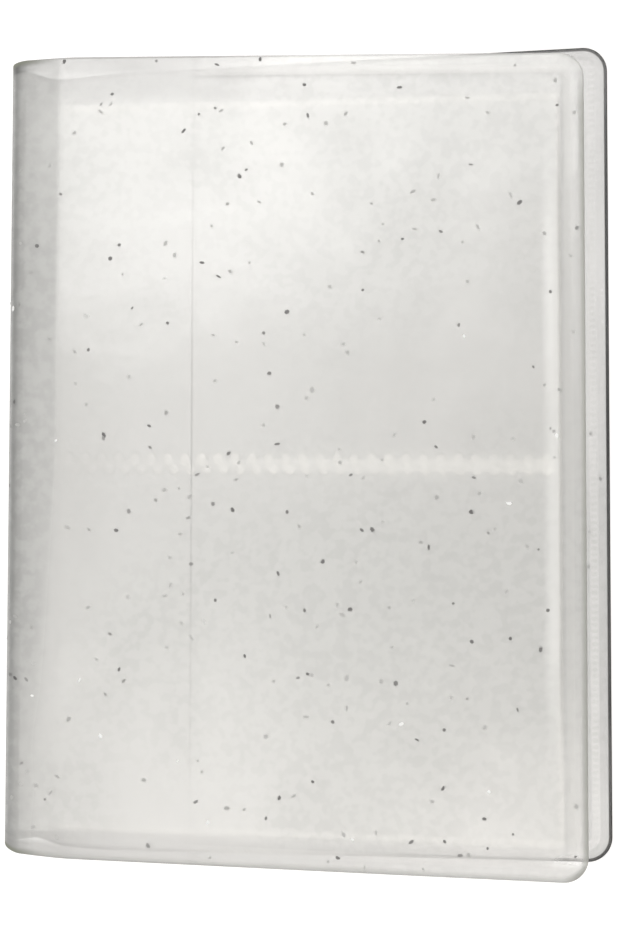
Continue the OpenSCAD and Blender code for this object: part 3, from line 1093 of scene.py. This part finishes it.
def leaf_welds():
    """Weld bars on both faces of a leaf, in its own frame. The middle weld is pressed least at the root."""
    outer_x = LEAF_W - WELD_IN
    inner_x = outer_x - EDGE_WELD_W
    outer_y = LEAF_H / 2 - WELD_IN
    inner_y = outer_y - EDGE_WELD_W
    edge_y = outer_y - EDGE_WELD_W / 2
    middle_len = inner_x - HINGE_MARGIN - WELD_CLEAR
    edge = weld_bar(outer_x - HINGE_MARGIN, EDGE_WELD_W, POCKET_GAP, EDGE_TEETH)
    tall = weld_bar(2 * (inner_y - WELD_CLEAR), EDGE_WELD_W, POCKET_GAP, EDGE_TEETH)
    middle = weld_bar(middle_len, MID_WELD_W, POCKET_GAP, MIDDLE_TEETH)
    fringe = weld_bar(middle_len - FRINGE_START, MID_WELD_W * FRINGE_WIDE, POCKET_GAP * FRINGE_THICK,
                      FRINGE_TEETH)
    parts = []
    for face in (1, -1):
        z = face * (DIVIDER_T / 2 + POCKET_GAP / 2)
        parts += [(edge, at(HINGE_MARGIN, edge_y, z)),
                  (edge, at(HINGE_MARGIN, -edge_y, z)),
                  (middle, at(HINGE_MARGIN, 0, z)),
                  (fringe, at(HINGE_MARGIN + FRINGE_START, 0, z)),
                  (tall, at(inner_x + EDGE_WELD_W / 2, WELD_CLEAR - inner_y, z, True))]
    pattern = joined("weld pattern", parts, WELD)
    co = np.array([v.co for v in pattern.data.vertices])
    along, across = co[:, 0] / MM, np.abs(co[:, 1]) / MM
    middle_pressed = smooth(-2, 45, along - HINGE_MARGIN)
    edge_pressed = np.where(along > inner_x - 0.5, 0.6, 0.35)
    store(pattern.data, "pressed", np.where(across < 2 * MID_WELD_W, middle_pressed, edge_pressed))
    co[:, 1] -= LEAF_DROOP * co[:, 0]
    pattern.data.vertices.foreach_set("co", co.astype(np.float32).ravel())
    pattern.data.update()
    return pattern


def leaf_sheet(name, start, middle, thickness, sag, material):
    """One sheet of a leaf in its own frame. The films sink a little towards the divider between the welds."""
    inset = thickness / 2
    height = LEAF_H - 2 * inset
    runs = run_stations(start + inset, LEAF_W - inset, LEAF_CORNER_R - inset)
    columns = side_columns(height)
    run = np.repeat(runs[:, None], len(columns), 1)
    y = half_height(run, LEAF_W - inset, height, LEAF_CORNER_R - inset) * columns[None, :]
    from_middle = smooth(0, 12, np.abs(y) - MID_WELD_W / 2)
    from_end = smooth(2.5, 14, LEAF_H / 2 - np.abs(y))
    from_fore = smooth(2.5, 16, LEAF_W - run)
    uneven = 0.75 + 0.25 * np.sin(run * 0.11 + y * 0.07)
    z = middle - sag * from_middle * from_end * from_fore * uneven
    points = np.stack([run, y - LEAF_DROOP * run, z], -1)
    normals = np.broadcast_to(np.array([0.0, 0.0, 1.0]), points.shape)
    edge = np.minimum(edge_distance(run, y, LEAF_W, LEAF_H, LEAF_CORNER_R), run - start)
    return sheet_object(name, Grid(points, normals, run, y, edge), thickness, material, True)


def leaves():
    """Every leaf from one set of patterns: its CAD node, its name, its slot and its mesh."""
    film_z = DIVIDER_T / 2 + POCKET_GAP + FILM_T / 2
    front_film = leaf_sheet("front film pattern", HINGE_MARGIN, film_z, FILM_T, FILM_SAG, POCKET_FILM)
    divider = leaf_sheet("divider pattern", 0.0, 0.0, DIVIDER_T, 0.0, DIVIDER)
    back_film = leaf_sheet("back film pattern", HINGE_MARGIN, -film_z, FILM_T, -FILM_SAG, POCKET_FILM)
    patterns = [
        ("front_film", "front_pocket_film", "pocket_film", front_film),
        ("divider", "divider_sheet", "divider", divider),
        ("back_film", "back_pocket_film", "pocket_film", back_film),
        ("welds", "weld_bars", "weld", leaf_welds())]
    for name in LEAVES:
        for node, title, slot, pattern in patterns:
            mesh = pattern.data.copy()
            mesh.transform(leaf_matrix(name))
            obj = place(f"{name}_{title}", mesh)
            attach(obj, name)
            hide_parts(f"{name}_{node}")
    for *_, pattern in patterns:
        bpy.data.objects.remove(pattern)


for album_cover in (BACK, FRONT):
    jacket_half(album_cover)
    flap(album_cover)
    flap_welds(album_cover)
binding()
leaves()


# Studio, in metres

FLOOR_HALF, FLOOR_Z = 3.0, -0.0003
# The floor glows a little more far off, and the sky is paler near the horizon, so that no horizon shows.
# Each pair is a distance over the floor, or the rise of a direction in the sky, and the strength there
FLOOR_GLOW_FROM, FLOOR_GLOW_TO = (0.4, 0.22), (1.6, 0.52)
SKY_LOW, SKY_HIGH = (0.0, 0.9), (0.4, 0.364)
SOFTBOX_Z = 1.0
# Softboxes that the front cover reflects: x and y, size, watts and tint
SOFTBOXES = {
    "upper left softbox": ((-0.245, 0.285), (0.28, 0.17), 1.15, (1.0, 0.99, 0.975)),
    "upper wide softbox": ((-0.135, 0.272), (0.37, 0.22), 1.67, (1.0, 0.99, 0.975)),
    "head softbox": ((0.015, 0.335), (0.28, 0.1), 1.15, (1.0, 0.98, 0.97)),
    "left softbox": ((-0.166, 0.01), (0.2, 0.38), 0.66, (0.99, 1.0, 0.99)),
    "foot softbox": ((-0.155, -0.19), (0.27, 0.27), 1.45, (1.0, 0.955, 0.905)),
    "foot right softbox": ((0.07, -0.192), (0.24, 0.14), 1.1, (1.0, 0.95, 0.9))}
# Camera, placed by fitting the covers' edges in the photograph: its angles to the side, up and round,
# its distance, the point it aims at (along the front cover, up and off the floor, in millimetres),
# and its focal length in pixels of the photograph, which is this high
VIEW_SIDE, VIEW_UP, VIEW_ROLL = math.radians(13.302), math.radians(-3.992), math.radians(0.103)
VIEW_DISTANCE = 0.59816
AIM_RUN, AIM_Y, AIM_Z = 72.282, -3.191, 6.0
FOCAL_PX, PHOTO_H, SENSOR = 2329.2, 930, 36.0


def floor():
    """Plain pale floor."""
    material, n, shader = new_material("studio floor")
    noise = n.noise({"Vector": n.here(), "Scale": 3.0})
    away = n.add("ShaderNodeVectorMath", {0: n.here()}, operation="LENGTH").outputs["Value"]
    (near, low), (far, high) = FLOOR_GLOW_FROM, FLOOR_GLOW_TO
    n.feed(shader, "Base Color", n.mix(noise, (0.94, 0.94, 0.94), (0.96, 0.96, 0.955)))
    n.feed(shader, "Roughness", 0.9)
    n.feed(shader, "Emission Color", (1.0, 1.0, 1.0, 1.0))
    n.feed(shader, "Emission Strength", n.ramp(away, near, far, low, high))
    mesh = bpy.data.meshes.new("floor")
    corners = [(-1, -1), (1, -1), (1, 1), (-1, 1)]
    mesh.from_pydata([(x * FLOOR_HALF, y * FLOOR_HALF, FLOOR_Z) for x, y in corners], [], [(0, 1, 2, 3)])
    mesh.materials.append(material)
    place("floor", mesh)


def sky():
    """White light from all round, stronger near the horizon."""
    world = bpy.data.worlds.new("studio")
    world.use_nodes = True
    background = world.node_tree.nodes["Background"]
    background.inputs["Color"].default_value = (1.0, 1.0, 1.0, 1.0)
    n = Nodes(world.node_tree)
    heading = n.add("ShaderNodeTexCoord").outputs["Generated"]
    rise = n.add("ShaderNodeSeparateXYZ", {"Vector": heading}).outputs["Z"]
    (low, low_strength), (high, high_strength) = SKY_LOW, SKY_HIGH
    n.feed(background, "Strength", n.ramp(rise, low, high, low_strength, high_strength))
    world.cycles.sampling_method = "NONE"
    bpy.context.scene.world = world


def softbox(name, spot, size, watts, tint):
    """Soft light over the album that casts no shadow."""
    data = bpy.data.lights.new(name, "AREA")
    data.shape = "RECTANGLE"
    data.size, data.size_y = size
    data.energy = watts
    data.color = tint
    data.use_shadow = False
    lamp = place(name, data)
    lamp.location = (*spot, SOFTBOX_Z)


def camera():
    """Camera at the photograph's viewing angle."""
    level = math.cos(VIEW_UP)
    back = Vector((math.sin(VIEW_SIDE) * level, math.sin(VIEW_UP), math.cos(VIEW_SIDE) * level))
    right = Vector((0, 1, 0)).cross(back).normalized()
    up = back.cross(right)
    turned_right = right * math.cos(VIEW_ROLL) + up * math.sin(VIEW_ROLL)
    turned_up = up * math.cos(VIEW_ROLL) - right * math.sin(VIEW_ROLL)
    aim = Vector((AIM_RUN + FRONT.arc[0] - X_MID, AIM_Y, AIM_Z)) * MM
    data = bpy.data.cameras.new("camera")
    data.sensor_width = SENSOR
    data.lens = FOCAL_PX / PHOTO_H * SENSOR
    data.clip_start, data.clip_end = 0.01, 20.0
    cam = place("camera", data)
    axes = Matrix((turned_right, turned_up, back)).transposed().to_4x4()
    cam.matrix_world = Matrix.Translation(aim + back * VIEW_DISTANCE) @ axes
    bpy.context.scene.camera = cam


floor()
sky()
for title, settings in SOFTBOXES.items():
    softbox(title, *settings)
camera()
scene = bpy.context.scene
scene.view_settings.view_transform = "Standard"
scene.view_settings.look = "None"
scene.cycles.transparent_max_bounces = 32
scene.cycles.max_bounces = 4

bpy.context.view_layer.update()
